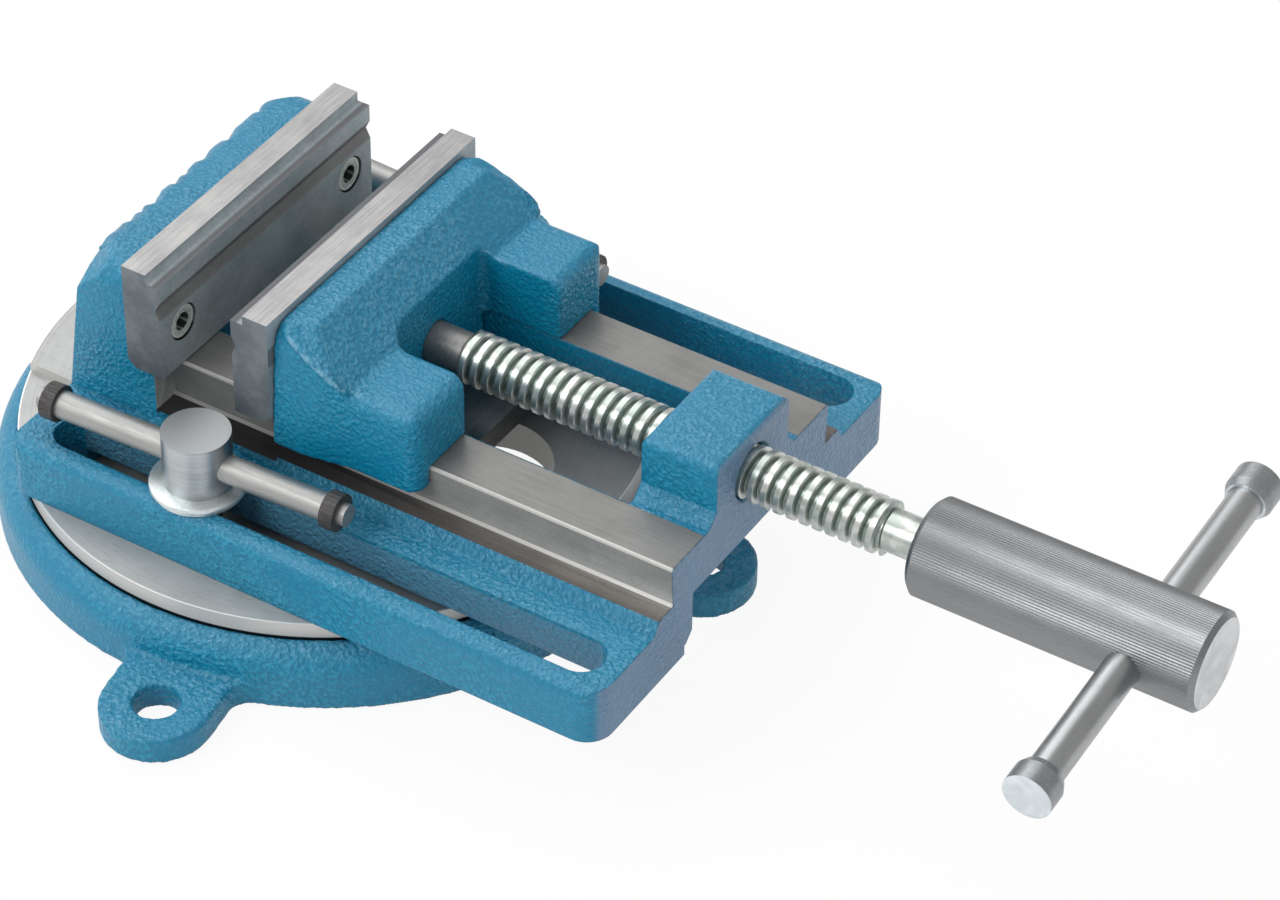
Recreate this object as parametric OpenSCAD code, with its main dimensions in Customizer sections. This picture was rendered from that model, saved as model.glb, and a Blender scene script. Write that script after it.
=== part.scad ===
// Swivel machine vise for a drilling table, with a bed that shifts and turns on a round base.
// Origin on the swivel axis in the plane of the table, +X towards the handle, +Z up.

/* [Base casting] */
// Outer radius of the foot ring
base_r = 97.25; // [95.5:0.25:99]
// Height of the upright outer wall
base_wall_h = 10.5; // [9.5:0.5:12]
// Radius of the shoulder above the wall
base_shoulder_r = 9.9; // [9.5:0.1:11]
// Height of the rim beside the turntable
base_rim_h = 19.5; // [18.5:0.1:20]
// Height of the seat that carries the turntable
seat_h = 17; // [15:0.5:18]
// Width of the rim round the turntable
rim_w = 7.25; // [6.5:0.25:8]
// Width of the seat below the turntable's edge
seat_w = 16; // [14:0.5:17.5]
// Thickness of the seat
seat_t = 8.5; // [7:0.5:9]
// Width of the foot ring
foot_w = 11.25; // [9.5:0.25:11.75]
// Turn of the base against the bed, as photographed
base_turn = 9; // [-180:1:180]

/* [Mounting lugs] */
// Distance of a lug's hole outside the base ring
lug_out = 14.75; // [12.75:0.25:22]
// Radius of a lug's round end
lug_r = 15.8; // [13:0.2:18]
// Thickness of a lug
lug_t = 8.3; // [6:0.1:9]
// Diameter of a lug's bolt hole
lug_hole_d = 13; // [8:0.5:14]
// Fillet where a lug's side meets the base
lug_fillet_r = 6; // [3:0.5:12]
// Angles of the lugs
lug_angles = [0, -90, 90];

/* [Turntable] */
// Thickness of the disc
disc_t = 7.5; // [6:0.5:9]
// Width of the raised guide across the disc
guide_w = 66; // [60:1:70]
// Height of the guide above the disc
guide_h = 2.8; // [2:0.1:3.2]
// Diameter of the two large holes in the guide
disc_hole_d = 40; // [30:1:40]
// Distance of the large holes from the swivel axis
disc_hole_x = 49.5; // [42:0.5:52]

/* [Bed] */
// Back end of the bed, measured from the swivel axis
bed_back = 56; // [56:1:58]
// Front end of the bed, measured from the swivel axis
bed_front = 136; // [136:1:140]
// Width of a flange outside the middle of its slot
flange_out = 12.7; // [12:0.1:14]
// Thickness of the flanges
flange_t = 18; // [15:0.5:19]
// Rounding of the flanges' top edges
flange_edge_r = 4; // [1:0.5:5]
// Corner radius of the flanges at the front
flange_front_r = 8; // [5:0.5:10]
// Corner radius of the flanges at the back
flange_back_r = 5; // [4.5:0.5:10]
// Distance of a clamping slot inside the turntable's edge
slot_inset = 25.7; // [25:0.1:26.5]
// Width of a clamping slot
slot_w = 13.6; // [13:0.1:14]
// Back end of the slots, measured from the swivel axis
slot_back = 48; // [40:1:49]
// Front end of the slots, measured from the swivel axis
slot_front = 130; // [110:1:130]
// Height of the hollow below a flange
hollow_h = 6; // [4:0.5:8]
// Width of the hollow on the inner side of a slot
hollow_in = 7; // [3:0.5:7.5]
// Back end of the hollows, measured from the swivel axis
hollow_back = 44; // [36:1:45]
// Front end of the hollows, measured from the swivel axis
hollow_front = 126; // [100:1:127]

/* [Ways] */
// Height of the ways above the bed's underside
way_h = 35.5; // [34:0.5:37]
// Width over the two ways
way_w = 80.8; // [78:0.2:81.5]
// Width of the channel between the ways
channel_w = 48; // [46:1:50]
// Chamfer along the ways' outer edges
way_chamfer = 0.7; // [0.3:0.1:1]
// How far the ways' sides lean in at the foot
way_lean = 1; // [0:0.1:1.2]
// Width over the machined ledges beside the ways
ledge_w = 93; // [88:1:95]
// Height of the ledges above the flanges
ledge_h = 4; // [2:0.5:5]
// Run of the slope from a ledge to the flange
ledge_slope = 2.5; // [1:0.5:4]
// Width of the arch below the ways
arch_w = 59; // [58:1:60]
// Thickness of the ways' inner lips, from way top to arch
lip_t = 16.2; // [14:0.1:17]
// Thickness of the wall that closes the arch at the back
arch_wall = 8; // [5:1:10]
// Slope at the foot of the arch
arch_slope = 3; // [1:0.5:4]

/* [Fixed jaw] */
// Distance of the fixed jaw's face behind the swivel axis
jaw_face_x = 21.4; // [21:0.2:24]
// Jaw opening as photographed
jaw_gap = 24; // [20:1:30]
// Width of the fixed jaw casting at its foot
fixed_w = 96; // [90:1:96]
// Width of the fixed jaw casting at its shoulders
fixed_top_w = 96; // [90:1:96]
// Rounding of the fixed jaw's shoulders
fixed_shoulder_r = 9; // [3:0.5:10]
// Drop of the fixed casting's top below the jaw plate's
fixed_drop = 2.8; // [2:0.1:4]
// Thickness of the fixed casting behind the plate, at its top
fixed_top_t = 15.8; // [14:0.2:19]
// Height of the rounded back edge below the casting's top
fixed_back_r = 5; // [2:0.5:7]
// Reach of the casting below the plate, past the plate's back
fixed_foot = 7.4; // [5:0.2:9]

/* [Jaw plates] */
// Width of the jaws
jaw_w = 100; // [98:1:104]
// Height of the jaws above the ways
jaw_h = 35; // [34:0.5:38]
// Thickness of a jaw plate
plate_t = 12; // [11:0.5:13]
// Depth of the step along a plate's top
step_d = 4; // [3:0.2:4.5]
// Height of the step along a plate's top
step_h = 3; // [2:0.2:4]
// Height of the middle of the grip groove above the ways
groove_h = 23.6; // [22:0.2:25]
// Height of the grip groove's opening
groove_w = 6; // [4:0.2:6.5]
// Depth of the grip groove
groove_d = 1.4; // [0.8:0.1:2]
// Chamfer at a plate's lower back edge
plate_chamfer = 2.5; // [1:0.1:3]
// Gap between a plate's lower edge and the ways
plate_lift = 0.5; // [0.3:0.1:1]

/* [Jaw screws] */
// Distance of a jaw screw from the middle
screw_y = 39.7; // [36:0.5:42]
// Height of the jaw screws above the ways
screw_h = 14; // [12:0.5:15]
// Diameter of a jaw screw's shank
screw_d = 6; // [5:0.5:6.5]
// Diameter of a jaw screw's head
screw_head_d = 10; // [9:0.5:10.5]
// Height of a jaw screw's head
screw_head_h = 6; // [5:0.5:6.5]
// Width across the flats of a jaw screw's socket
screw_socket_w = 5; // [3:0.5:5]
// Depth of a jaw screw's socket
screw_socket_d = 3; // [2:0.5:3.5]
// Length of a jaw screw's shank
screw_l = 16; // [12:1:18]
// Diameter of the counterbore round a jaw screw's head
counterbore_d = 11; // [11:0.5:12]

/* [Movable jaw] */
// Length of the movable jaw casting behind its plate
jaw_l = 45.4; // [44:0.2:48]
// Width over the jaw's cheeks
jaw_cheek_w = 99; // [98.5:0.5:99.5]
// Width over the jaw's arms
jaw_arm_w = 94; // [92:0.5:95]
// Width of the notch between the arms
notch_w = 47; // [46:0.5:48]
// Length of the arms, from the notch's end wall
arm_l = 25.5; // [24:0.5:27]
// Height of the arms above the ways
arm_h = 20; // [18:0.5:22]
// Drop of the jaw casting's top below its plate's
jaw_drop = 2; // [1:0.5:4]
// Length of the level top behind the plate
jaw_top_l = 9.5; // [8:0.5:12]
// Length of the slope from the top to the arms
jaw_slope_l = 14; // [10:0.5:16]
// Corner radius of the arms in plan
arm_corner_r = 5; // [2:0.5:6]
// Corner radius inside the notch, near side
notch_near_r = 8; // [3:0.5:9]
// Corner radius inside the notch, far side
notch_far_r = 3; // [1:0.5:6]
// Rounding of the arms' front and side edges
arm_edge_r = 4.5; // [1:0.5:5]
// Rounding of the jaw's top edges at both sides
jaw_edge_r = 6; // [2:0.5:7]
// How far the jaw's cheeks lean in at the top
jaw_lean = 2.5; // [1:0.5:3]
// How far the side skirts reach below the ways' top
skirt_h = 6; // [4:0.5:8]
// Length of the tongue that runs between the ways
tongue_l = 19.9; // [19:0.1:21]

/* [Keeper plate] */
// Length of the keeper plate
keeper_l = 48; // [44:1:50]
// Thickness of the keeper plate
keeper_t = 7.6; // [7:0.1:8]
// Reach of the keeper plate behind the tongue's back
keeper_back = 8.6; // [6:0.2:10]
// Diameter of a keeper screw's shank
keeper_screw_d = 6; // [5:0.5:6.5]
// Diameter of a keeper screw's head
keeper_head_d = 10; // [9:0.5:10]
// Height of a keeper screw's head
keeper_head_h = 4; // [3:0.5:4.5]
// Length of a keeper screw's shank
keeper_screw_l = 14; // [12:1:14]
// Distance of a keeper screw from the middle
keeper_screw_y = 15; // [14:0.5:16]
// Distance of the keeper screws from the tongue's back
keeper_screw_x = 8; // [7:0.5:9]
// Width over the corners of a keeper screw's socket
keeper_socket_d = 4.6; // [3:0.1:5]

/* [Nut block] */
// Length of the nut block on the bed's front end
nut_l = 23.5; // [20:0.5:26]
// Width of the nut block
nut_w = 36.6; // [32:0.2:38]
// Width of the nut block's foot
nut_foot_w = 44; // [42:0.5:45]
// Height of the nut block above the ways
nut_h = 19; // [17:0.5:20]
// Rounding of the nut block's top edges at its sides
nut_edge_r = 3.5; // [1:0.5:5]
// Rounding of the nut block's top edges at its ends
nut_end_r = 2.5; // [1:0.5:4]
// Height of the spindle above the ways
spindle_h = 4.75; // [4.25:0.25:5]

/* [Spindle] */
// Outer diameter of the thread
thread_d = 15.7; // [15:0.1:16]
// Inner diameter of the thread
thread_root_d = 11.6; // [11:0.1:12]
// Pitch of the thread
thread_pitch = 4; // [3.5:0.1:5]
// Width of a thread's crest
crest_w = 1.2; // [0.8:0.1:1.5]
// Width of the thread's root
root_w = 1.8; // [1.4:0.1:2.2]
// Start of the thread in front of the notch's end wall
thread_start = 11.5; // [10:0.5:13]
// Number of turns of the thread
thread_turns = 33; // [31:1:34]
// Diameter of the plain nose
nose_d = 12; // [11.5:0.5:13]
// Depth of the nose inside the movable jaw
nose_depth = 15; // [14:0.5:16]
// Distance of the retaining groove from the nose's end
groove_x = 5; // [4.5:0.5:6]
// Diameter of the plain neck in front of the thread
neck_d = 12; // [11.5:0.5:13]
// Length of the plain neck up to the hub
neck_l = 11.6; // [10:0.2:14]
// Length of the neck inside the hub
neck_depth = 22; // [15:1:30]
// Diameter of the retaining pin
pin_d = 5; // [4:0.5:5]
// Depth of the retaining groove
groove_depth = 2; // [1.5:0.1:2.5]
// Length of the retaining pin
pin_l = 30; // [27:1:32]

/* [Handle] */
// Diameter of the hub
hub_d = 28.1; // [26:0.1:30]
// Length of the hub
hub_l = 84; // [78:0.5:90]
// Chamfer at the hub's ends
hub_chamfer = 1.2; // [0.5:0.1:2]
// Distance of the cross bar from the hub's outer end
bar_inset = 20; // [16:0.5:25]
// Diameter of the cross bar
bar_d = 10; // [8:0.2:11]
// Length of the cross bar over its caps
bar_l = 128; // [120:1:132]
// Turn of the cross bar about the spindle, as photographed
bar_turn = 4.6; // [-10:0.1:10]
// Diameter of a bar cap
cap_d = 14; // [13:0.2:16]
// Length of a bar cap
cap_l = 8.5; // [7:0.5:10]
// Diameter of a bar cap at its inner end
cap_neck_d = 12; // [11.5:0.2:13]
// Length of a bar cap's taper
cap_taper = 2.2; // [1:0.1:3]

/* [Clamps] */
// Diameter of a clamp bolt's head
clamp_head_d = 19.4; // [18:0.2:20]
// Height of a clamp bolt's head
clamp_head_h = 16.8; // [16:0.2:18]
// Diameter of a clamp bolt's shank
clamp_shank_d = 12; // [10:0.5:12]
// Diameter of a clamp washer
washer_d = 27.5; // [24:0.5:28]
// Thickness of a clamp washer
washer_t = 3; // [2:0.1:3.5]
// Diameter of a clamp bar
clamp_bar_d = 8; // [6:0.5:8.5]
// Length of a clamp bar
clamp_bar_l = 99; // [90:1:100]
// Height of a clamp bar above its bolt's head seat
clamp_bar_h = 7.5; // [7:0.1:8]
// Turn of a clamp bar away from the bed's length, as photographed
clamp_turn = 2.7; // [0:0.1:3]
// Shift of the near clamp bar towards the back, as photographed
near_bar_shift = 1.3; // [0:0.1:3]
// Diameter of a clamp bar's turned ends
clamp_stub_d = 6.4; // [5:0.1:7]
// Diameter of the ring on a clamp bar's end
ring_d = 10.8; // [10:0.1:11.2]
// Width of the ring on a clamp bar's end
ring_w = 4.2; // [3:0.1:5]
// Length of a clamp bar's end beyond its ring
stub_l = 2.2; // [1:0.1:3]
// Width of a slot nut along the bed
slot_nut_w = 28; // [24:1:30]
// Distance of a slot nut's inner face from its bolt
slot_nut_back = 8.3; // [7.3:0.1:10]
// Reach of a slot nut's finger under the base's seat
slot_nut_reach = 10; // [6:0.5:10.5]
// Height of a slot nut's underside above the table
slot_nut_lift = 2; // [1.5:0.1:2.5]

/* [Hidden] */
$fn = 96;

// Overrun of every cut
cut = 1;
// Radial clearance of a running fit
fit_gap = 0.08;
// Radial clearance of a fixed piece in its hole
seat_gap = 0.02;
// Clearance of sliding flat faces
slide_gap = 0.25;
// Clearance of a slot nut below what it grips
grip_gap = 0.3;
// Clearance of a clamp bolt in the turntable
bolt_gap = 0.5;
// Clearance of a clamp bar in its bolt's head
bar_gap = 0.08;
// Clearance of the spindle's thread in the nut block
thread_gap = 0.25;
// Clearance above the turntable's guide
guide_roof_gap = 0.5;
// Depth of the nut block's countersinks
countersink = 0.8;
// Depth of a blind hole past its screw or pin
blind_gap = 1;

// Radii, and places across the bed
disc_r = base_r - rim_w;
seat_in_r = disc_r - seat_w;
foot_in_r = base_r - foot_w;
lug_pitch_r = base_r + lug_out;
slot_y = disc_r - slot_inset;
bed_w = 2 * (slot_y + flange_out);
slot_nut_in = slot_y - slot_nut_back;

// Heights
disc_top = seat_h + disc_t;
bed_bottom = disc_top;
flange_top = bed_bottom + flange_t;
way_top = bed_bottom + way_h;
ledge_top = flange_top + ledge_h;
arch_top = way_top - lip_t;
guide_roof = disc_top + guide_h + guide_roof_gap;
jaw_top = way_top + jaw_h;
spindle_z = way_top + spindle_h;
plate_bottom = way_top + plate_lift;
fixed_top = jaw_top - fixed_drop;
keeper_top = arch_top - slide_gap;
head_seat = flange_top + washer_t;

// Places along the bed
fixed_plate_back = -jaw_face_x - plate_t;
movable_face = jaw_gap - jaw_face_x;
movable_back = movable_face + plate_t;
notch_end = movable_back + jaw_l - arm_l;
jaw_front = movable_back + jaw_l;
nose_end = notch_end - nose_depth;
thread_x = notch_end + thread_start;
neck_x = thread_x + thread_turns * thread_pitch;
hub_x = neck_x + neck_l;
bar_x = hub_x + hub_l - bar_inset;
nut_x = bed_front - nut_l;
pin_y = (nose_d + pin_d) / 2 - groove_depth;
cap_x = bar_l / 2 - cap_l;
ring_x = clamp_bar_l / 2 - stub_l - ring_w;

// Colours
cast_blue = [0.13, 0.43, 0.60];
ground = [0.62, 0.62, 0.61];
dark_steel = [0.32, 0.33, 0.35];
bright = [0.78, 0.79, 0.80];

// Two mirrored copies, one on each side of the middle plane
module both_sides() {
    children();
    mirror([0, 1, 0]) children();
}

// Rectangle from low to high corner with two corner radii, front and back
module rounded_plan(low_x, high_x, half_w, back_r, front_r) {
    difference() {
        translate([low_x, -half_w]) square([high_x - low_x, 2 * half_w]);
        for (s = [-1, 1]) {
            corner_cut(low_x, s * half_w, 1, -s, back_r);
            corner_cut(high_x, s * half_w, -1, -s, front_r);
        }
    }
}

// What a rounded corner at x, y takes away; dx and dy point into the shape
module corner_cut(x, y, dx, dy, r) {
    difference() {
        translate([x + min(0, dx) * r - (dx > 0 ? cut : 0), y + min(0, dy) * r - (dy > 0 ? cut : 0)])
            square(r + cut);
        translate([x + dx * r, y + dy * r]) circle(r);
    }
}

// Extrudes a plan drawn in Y and Z along X, from low_x to high_x
module along_x(low_x, high_x) {
    translate([low_x, 0, 0]) rotate([90, 0, 90]) linear_extrude(high_x - low_x) children();
}

// Extrudes a plan drawn in X and Z across the middle plane, to half_w on each side
module across_y(half_w) {
    translate([0, half_w, 0]) rotate([90, 0, 0]) linear_extrude(2 * half_w) children();
}

// Section of the base ring, radius against height
module base_section() {
    difference() {
        union() {
            square([base_r, base_wall_h]);
            square([base_r - base_shoulder_r, base_rim_h]);
            intersection() {
                translate([base_r - base_shoulder_r, base_wall_h]) circle(base_shoulder_r);
                square([base_r, base_rim_h]);
            }
        }
        translate([0, seat_h]) square([disc_r + fit_gap, base_rim_h]);
        square([seat_in_r, base_rim_h + cut]);
        square([foot_in_r, seat_h - seat_t]);
    }
}

// Plan of one lug along X, with its root inside the foot ring
module lug_plan() {
    fillet_y = lug_r + lug_fillet_r;
    fillet_x = sqrt(pow(base_r + lug_fillet_r, 2) - pow(fillet_y, 2));
    difference() {
        union() {
            translate([lug_pitch_r, 0]) circle(lug_r);
            translate([0, -lug_r]) square([lug_pitch_r, 2 * lug_r]);
            for (s = [-1, 1]) polygon([[0, 0], [fillet_x, 0], [fillet_x, s * fillet_y]]);
        }
        for (s = [-1, 1]) translate([fillet_x, s * fillet_y]) circle(lug_fillet_r);
        circle((foot_in_r + base_r) / 2);
    }
}

module base() {
    color(cast_blue) difference() {
        union() {
            rotate_extrude() base_section();
            for (a = lug_angles) rotate([0, 0, base_turn + a]) linear_extrude(lug_t) lug_plan();
        }
        for (a = lug_angles) rotate([0, 0, base_turn + a]) translate([lug_pitch_r, 0, -cut])
            cylinder(h = lug_t + 2 * cut, d = lug_hole_d);
    }
}

module turntable() {
    hole_h = disc_t + guide_h + 2 * cut;
    color(ground) difference() {
        union() {
            translate([0, 0, seat_h]) cylinder(h = disc_t, r = disc_r);
            intersection() {
                translate([-disc_r, -guide_w / 2, seat_h]) cube([2 * disc_r, guide_w, disc_t + guide_h]);
                translate([0, 0, seat_h]) cylinder(h = disc_t + guide_h, r = disc_r);
            }
        }
        for (s = [-1, 1]) {
            translate([s * disc_hole_x, 0, seat_h - cut]) cylinder(h = hole_h, d = disc_hole_d);
            translate([0, s * slot_y, seat_h - cut])
                cylinder(h = hole_h, d = clamp_shank_d + 2 * bolt_gap);
        }
    }
}

// Section of one way, from the channel to the root of its flange
module way_section() {
    way = way_w / 2;
    ledge = ledge_w / 2;
    arch = arch_w / 2;
    guide = guide_w / 2 + slide_gap;
    root = ledge + ledge_slope;
    polygon([
        [channel_w / 2, arch_top], [channel_w / 2, way_top], [way - way_chamfer, way_top],
        [way, way_top - way_chamfer], [way - way_lean, ledge_top], [ledge, ledge_top],
        [root, flange_top], [root, bed_bottom], [guide, bed_bottom], [guide, guide_roof],
        [arch + arch_slope, guide_roof], [arch, guide_roof + arch_slope], [arch, arch_top]
    ]);
}

// Plan of both flanges with their clamping slots
module flange_plan() {
    difference() {
        rounded_plan(-bed_back, bed_front, bed_w / 2, flange_back_r, flange_front_r);
        translate([-bed_back - cut, -guide_w / 2 - slide_gap])
            square([bed_back + bed_front + 2 * cut, guide_w + 2 * slide_gap]);
        for (s = [-1, 1]) translate([0, s * slot_y]) {
            translate([slot_w / 2 - slot_back, -slot_w / 2])
                square([slot_back + slot_front - slot_w, slot_w]);
            translate([slot_w / 2 - slot_back, 0]) circle(d = slot_w);
            translate([slot_front - slot_w / 2, 0]) circle(d = slot_w);
        }
    }
}

module flanges() {
    half = bed_w / 2;
    intersection() {
        translate([0, 0, bed_bottom]) linear_extrude(flange_t) flange_plan();
        along_x(-bed_back - cut, bed_front + cut) difference() {
            translate([-half, bed_bottom]) square([bed_w, flange_t]);
            for (s = [-1, 1]) corner_cut(s * half, flange_top, -s, -1, flange_edge_r);
        }
    }
}

// The fixed jaw's outline from the side
module fixed_jaw_side() {
    back_top = fixed_plate_back - fixed_top_t;
    difference() {
        polygon([
            [-bed_back, bed_bottom + cut], [-bed_back, flange_top], [back_top, fixed_top],
            [fixed_plate_back, fixed_top], [fixed_plate_back, way_top],
            [fixed_plate_back + fixed_foot, way_top], [fixed_plate_back + fixed_foot, bed_bottom + cut]
        ]);
        corner_cut(back_top, fixed_top, 1, -1, fixed_back_r);
    }
}

// The fixed jaw's outline from the front
module fixed_jaw_front() {
    foot = fixed_w / 2;
    top = fixed_top_w / 2;
    difference() {
        polygon([
            [-foot, bed_bottom], [-foot, flange_top], [-top, fixed_top - fixed_shoulder_r],
            [-top, fixed_top], [top, fixed_top], [top, fixed_top - fixed_shoulder_r],
            [foot, flange_top], [foot, bed_bottom]
        ]);
        for (s = [-1, 1]) corner_cut(s * top, fixed_top, -s, -1, fixed_shoulder_r);
    }
}

// The nut block's outline from the front, with the web that joins the ways
module nut_section() {
    half = nut_w / 2;
    foot = nut_foot_w / 2;
    top = way_top + nut_h;
    difference() {
        union() {
            translate([-half, way_top]) square([nut_w, nut_h]);
            polygon([[-foot, way_top], [-half, way_top + foot - half], [half, way_top + foot - half],
                [foot, way_top]]);
            translate([-channel_w / 2, arch_top]) square([channel_w, lip_t]);
        }
        for (s = [-1, 1]) corner_cut(s * half, top, -s, -1, nut_edge_r);
    }
}

// The nut block's outline from the side
module nut_side() {
    top = way_top + nut_h;
    difference() {
        translate([nut_x, arch_top]) square([nut_l, top - arch_top]);
        corner_cut(nut_x, top, 1, -1, nut_end_r);
        corner_cut(bed_front, top, -1, -1, nut_end_r);
    }
}

// Hole for a jaw screw along X, from its head's seat towards dx
module jaw_screw_hole(x, dx) {
    for (s = [-1, 1]) translate([x, s * screw_y, way_top + screw_h]) rotate([0, dx * 90, 0])
        cylinder(h = screw_l + blind_gap, d = screw_d + 2 * seat_gap);
}

module bed() {
    guide = guide_w / 2 + slide_gap;
    thread_hole = thread_d / 2 + thread_gap;
    color(cast_blue) difference() {
        union() {
            both_sides() along_x(fixed_plate_back, bed_front) way_section();
            flanges();
            intersection() {
                across_y(fixed_w / 2) fixed_jaw_side();
                along_x(-bed_back - cut, 0) fixed_jaw_front();
            }
            intersection() {
                along_x(nut_x, bed_front) nut_section();
                across_y(channel_w / 2 + cut) nut_side();
            }
        }
        // Guide channel and arch below the fixed jaw
        translate([-bed_back - cut, -guide, bed_bottom - cut])
            cube([bed_back + 2 * cut, 2 * guide, guide_roof - bed_bottom + cut]);
        translate([arch_wall - bed_back, -arch_w / 2, guide_roof - cut])
            cube([bed_back, arch_w, arch_top - guide_roof + cut]);
        // Hollows below the flanges, open to the slots
        both_sides() translate([-hollow_back, slot_y - slot_w / 2 - hollow_in, bed_bottom - cut])
            cube([hollow_back + hollow_front, slot_w + hollow_in, hollow_h + cut]);
        // Thread hole with its countersinks
        translate([nut_x - cut, 0, spindle_z]) rotate([0, 90, 0])
            cylinder(h = nut_l + 2 * cut, r = thread_hole);
        translate([nut_x, 0, spindle_z]) rotate([0, 90, 0])
            cylinder(h = countersink, r1 = thread_hole + countersink, r2 = thread_hole);
        translate([bed_front - countersink, 0, spindle_z]) rotate([0, 90, 0])
            cylinder(h = countersink, r1 = thread_hole, r2 = thread_hole + countersink);
        jaw_screw_hole(fixed_plate_back + screw_seat(), -1);
    }
}

// Distance from a plate's back to the seat of its screws' heads
function screw_seat() = plate_t - screw_head_h - blind_gap / 2;

// A jaw plate with its back at x = 0 and its face towards +X
module jaw_plate() {
    top = jaw_top;
    groove_z = way_top + groove_h;
    difference() {
        across_y(jaw_w / 2) polygon([
            [0, plate_bottom + plate_chamfer], [plate_chamfer, plate_bottom], [plate_t, plate_bottom],
            [plate_t, groove_z - groove_w / 2], [plate_t - groove_d, groove_z],
            [plate_t, groove_z + groove_w / 2], [plate_t, top - step_h], [plate_t - step_d, top - step_h],
            [plate_t - step_d, top], [0, top]
        ]);
        for (s = [-1, 1]) translate([0, s * screw_y, way_top + screw_h]) rotate([0, 90, 0]) {
            translate([0, 0, -cut]) cylinder(h = plate_t + 2 * cut, d = screw_d + 2 * seat_gap);
            translate([0, 0, screw_seat()]) cylinder(h = plate_t, d = counterbore_d);
        }
    }
}

// Two socket screws for a plate with its back at x = 0
module jaw_screws() {
    for (s = [-1, 1]) translate([screw_seat(), s * screw_y, way_top + screw_h]) rotate([0, 90, 0])
        difference() {
            union() {
                translate([0, 0, -screw_l]) cylinder(h = screw_l, d = screw_d);
                cylinder(h = screw_head_h, d = screw_head_d);
            }
            translate([0, 0, screw_head_h - screw_socket_d])
                cylinder(h = screw_socket_d + cut, d = screw_socket_w / cos(30), $fn = 6);
        }
}

module fixed_jaw_plate() {
    color(dark_steel) translate([fixed_plate_back, 0, 0]) jaw_plate();
}

module fixed_jaw_screws() {
    color(bright) translate([fixed_plate_back, 0, 0]) jaw_screws();
}

module movable_jaw_plate() {
    color(dark_steel) translate([movable_back, 0, 0]) mirror([1, 0, 0]) jaw_plate();
}

module movable_jaw_screws() {
    color(bright) translate([movable_back, 0, 0]) mirror([1, 0, 0]) jaw_screws();
}

// Plan of the movable jaw casting
module movable_plan() {
    cheek = jaw_cheek_w / 2;
    arm = jaw_arm_w / 2;
    taper_x = movable_back + jaw_top_l;
    difference() {
        union() {
            translate([movable_back, -cheek]) square([jaw_top_l, jaw_cheek_w]);
            polygon([[taper_x, -cheek], [taper_x + jaw_slope_l, -arm], [taper_x + jaw_slope_l, arm],
                [taper_x, cheek]]);
            rounded_plan(movable_back, jaw_front, arm, 0, arm_corner_r);
        }
        difference() {
            translate([notch_end, -notch_w / 2]) square([arm_l + cut, notch_w]);
            corner_cut(notch_end, -notch_w / 2, 1, 1, notch_near_r);
            corner_cut(notch_end, notch_w / 2, 1, -1, notch_far_r);
        }
    }
}

// The outline from the side, of the whole casting or of its arms alone
module movable_side(arms) {
    arm_top = way_top + arm_h;
    top = arms ? arm_top : jaw_top - jaw_drop;
    low = way_top - skirt_h;
    slope_x = movable_back + jaw_top_l;
    difference() {
        polygon(arms ?
            [[movable_back, low], [movable_back, top], [jaw_front, top], [jaw_front, low]] :
            [[movable_back, low], [movable_back, top], [slope_x, top], [slope_x + jaw_slope_l, arm_top],
                [slope_x + jaw_slope_l, low]]);
        if (arms) corner_cut(jaw_front, arm_top, -1, -1, arm_edge_r);
    }
}

// The outline from the front, leaning in by a given amount
module movable_front(half, top, lean, edge_r) {
    low = way_top - skirt_h;
    difference() {
        polygon([[-half, low], [-half, way_top], [lean - half, top], [half - lean, top], [half, way_top],
            [half, low]]);
        for (s = [-1, 1]) corner_cut(s * (half - lean), top, -s, -1, edge_r);
    }
}

// One part of the casting, the head behind the plate or the arms
module movable_block(arms) {
    low = way_top - skirt_h;
    intersection() {
        translate([0, 0, low]) linear_extrude(jaw_h + skirt_h) movable_plan();
        across_y(jaw_w / 2) movable_side(arms);
        along_x(movable_back, jaw_front)
            movable_front((arms ? jaw_arm_w : jaw_cheek_w) / 2, arms ? way_top + arm_h : jaw_top - jaw_drop,
                arms ? 0 : jaw_lean, arms ? arm_edge_r : jaw_edge_r);
    }
}

module movable_jaw() {
    way_gap = way_w / 2 + slide_gap;
    tongue = channel_w / 2 - slide_gap;
    color(cast_blue) difference() {
        union() {
            difference() {
                union() {
                    movable_block(false);
                    movable_block(true);
                }
                translate([movable_back - cut, -way_gap, way_top - skirt_h - cut])
                    cube([jaw_l + 2 * cut, 2 * way_gap, skirt_h + cut]);
            }
            translate([movable_back, -tongue, keeper_top])
                cube([tongue_l, 2 * tongue, way_top - keeper_top + cut]);
        }
        // Bore for the spindle's nose
        translate([nose_end - blind_gap, 0, spindle_z]) rotate([0, 90, 0])
            cylinder(h = nose_depth + blind_gap + cut, d = nose_d + 2 * fit_gap);
        // Hole for the retaining pin
        translate([nose_end + groove_x, pin_y, keeper_top - cut])
            cylinder(h = pin_l + cut + blind_gap, d = pin_d + 2 * seat_gap);
        // Holes for the keeper's screws
        for (s = [-1, 1]) translate([movable_back + keeper_screw_x, s * keeper_screw_y, keeper_top - cut])
            cylinder(h = keeper_screw_l - keeper_t + cut + blind_gap,
                d = keeper_screw_d + 2 * seat_gap);
        jaw_screw_hole(movable_back - screw_seat(), 1);
    }
}

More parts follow.
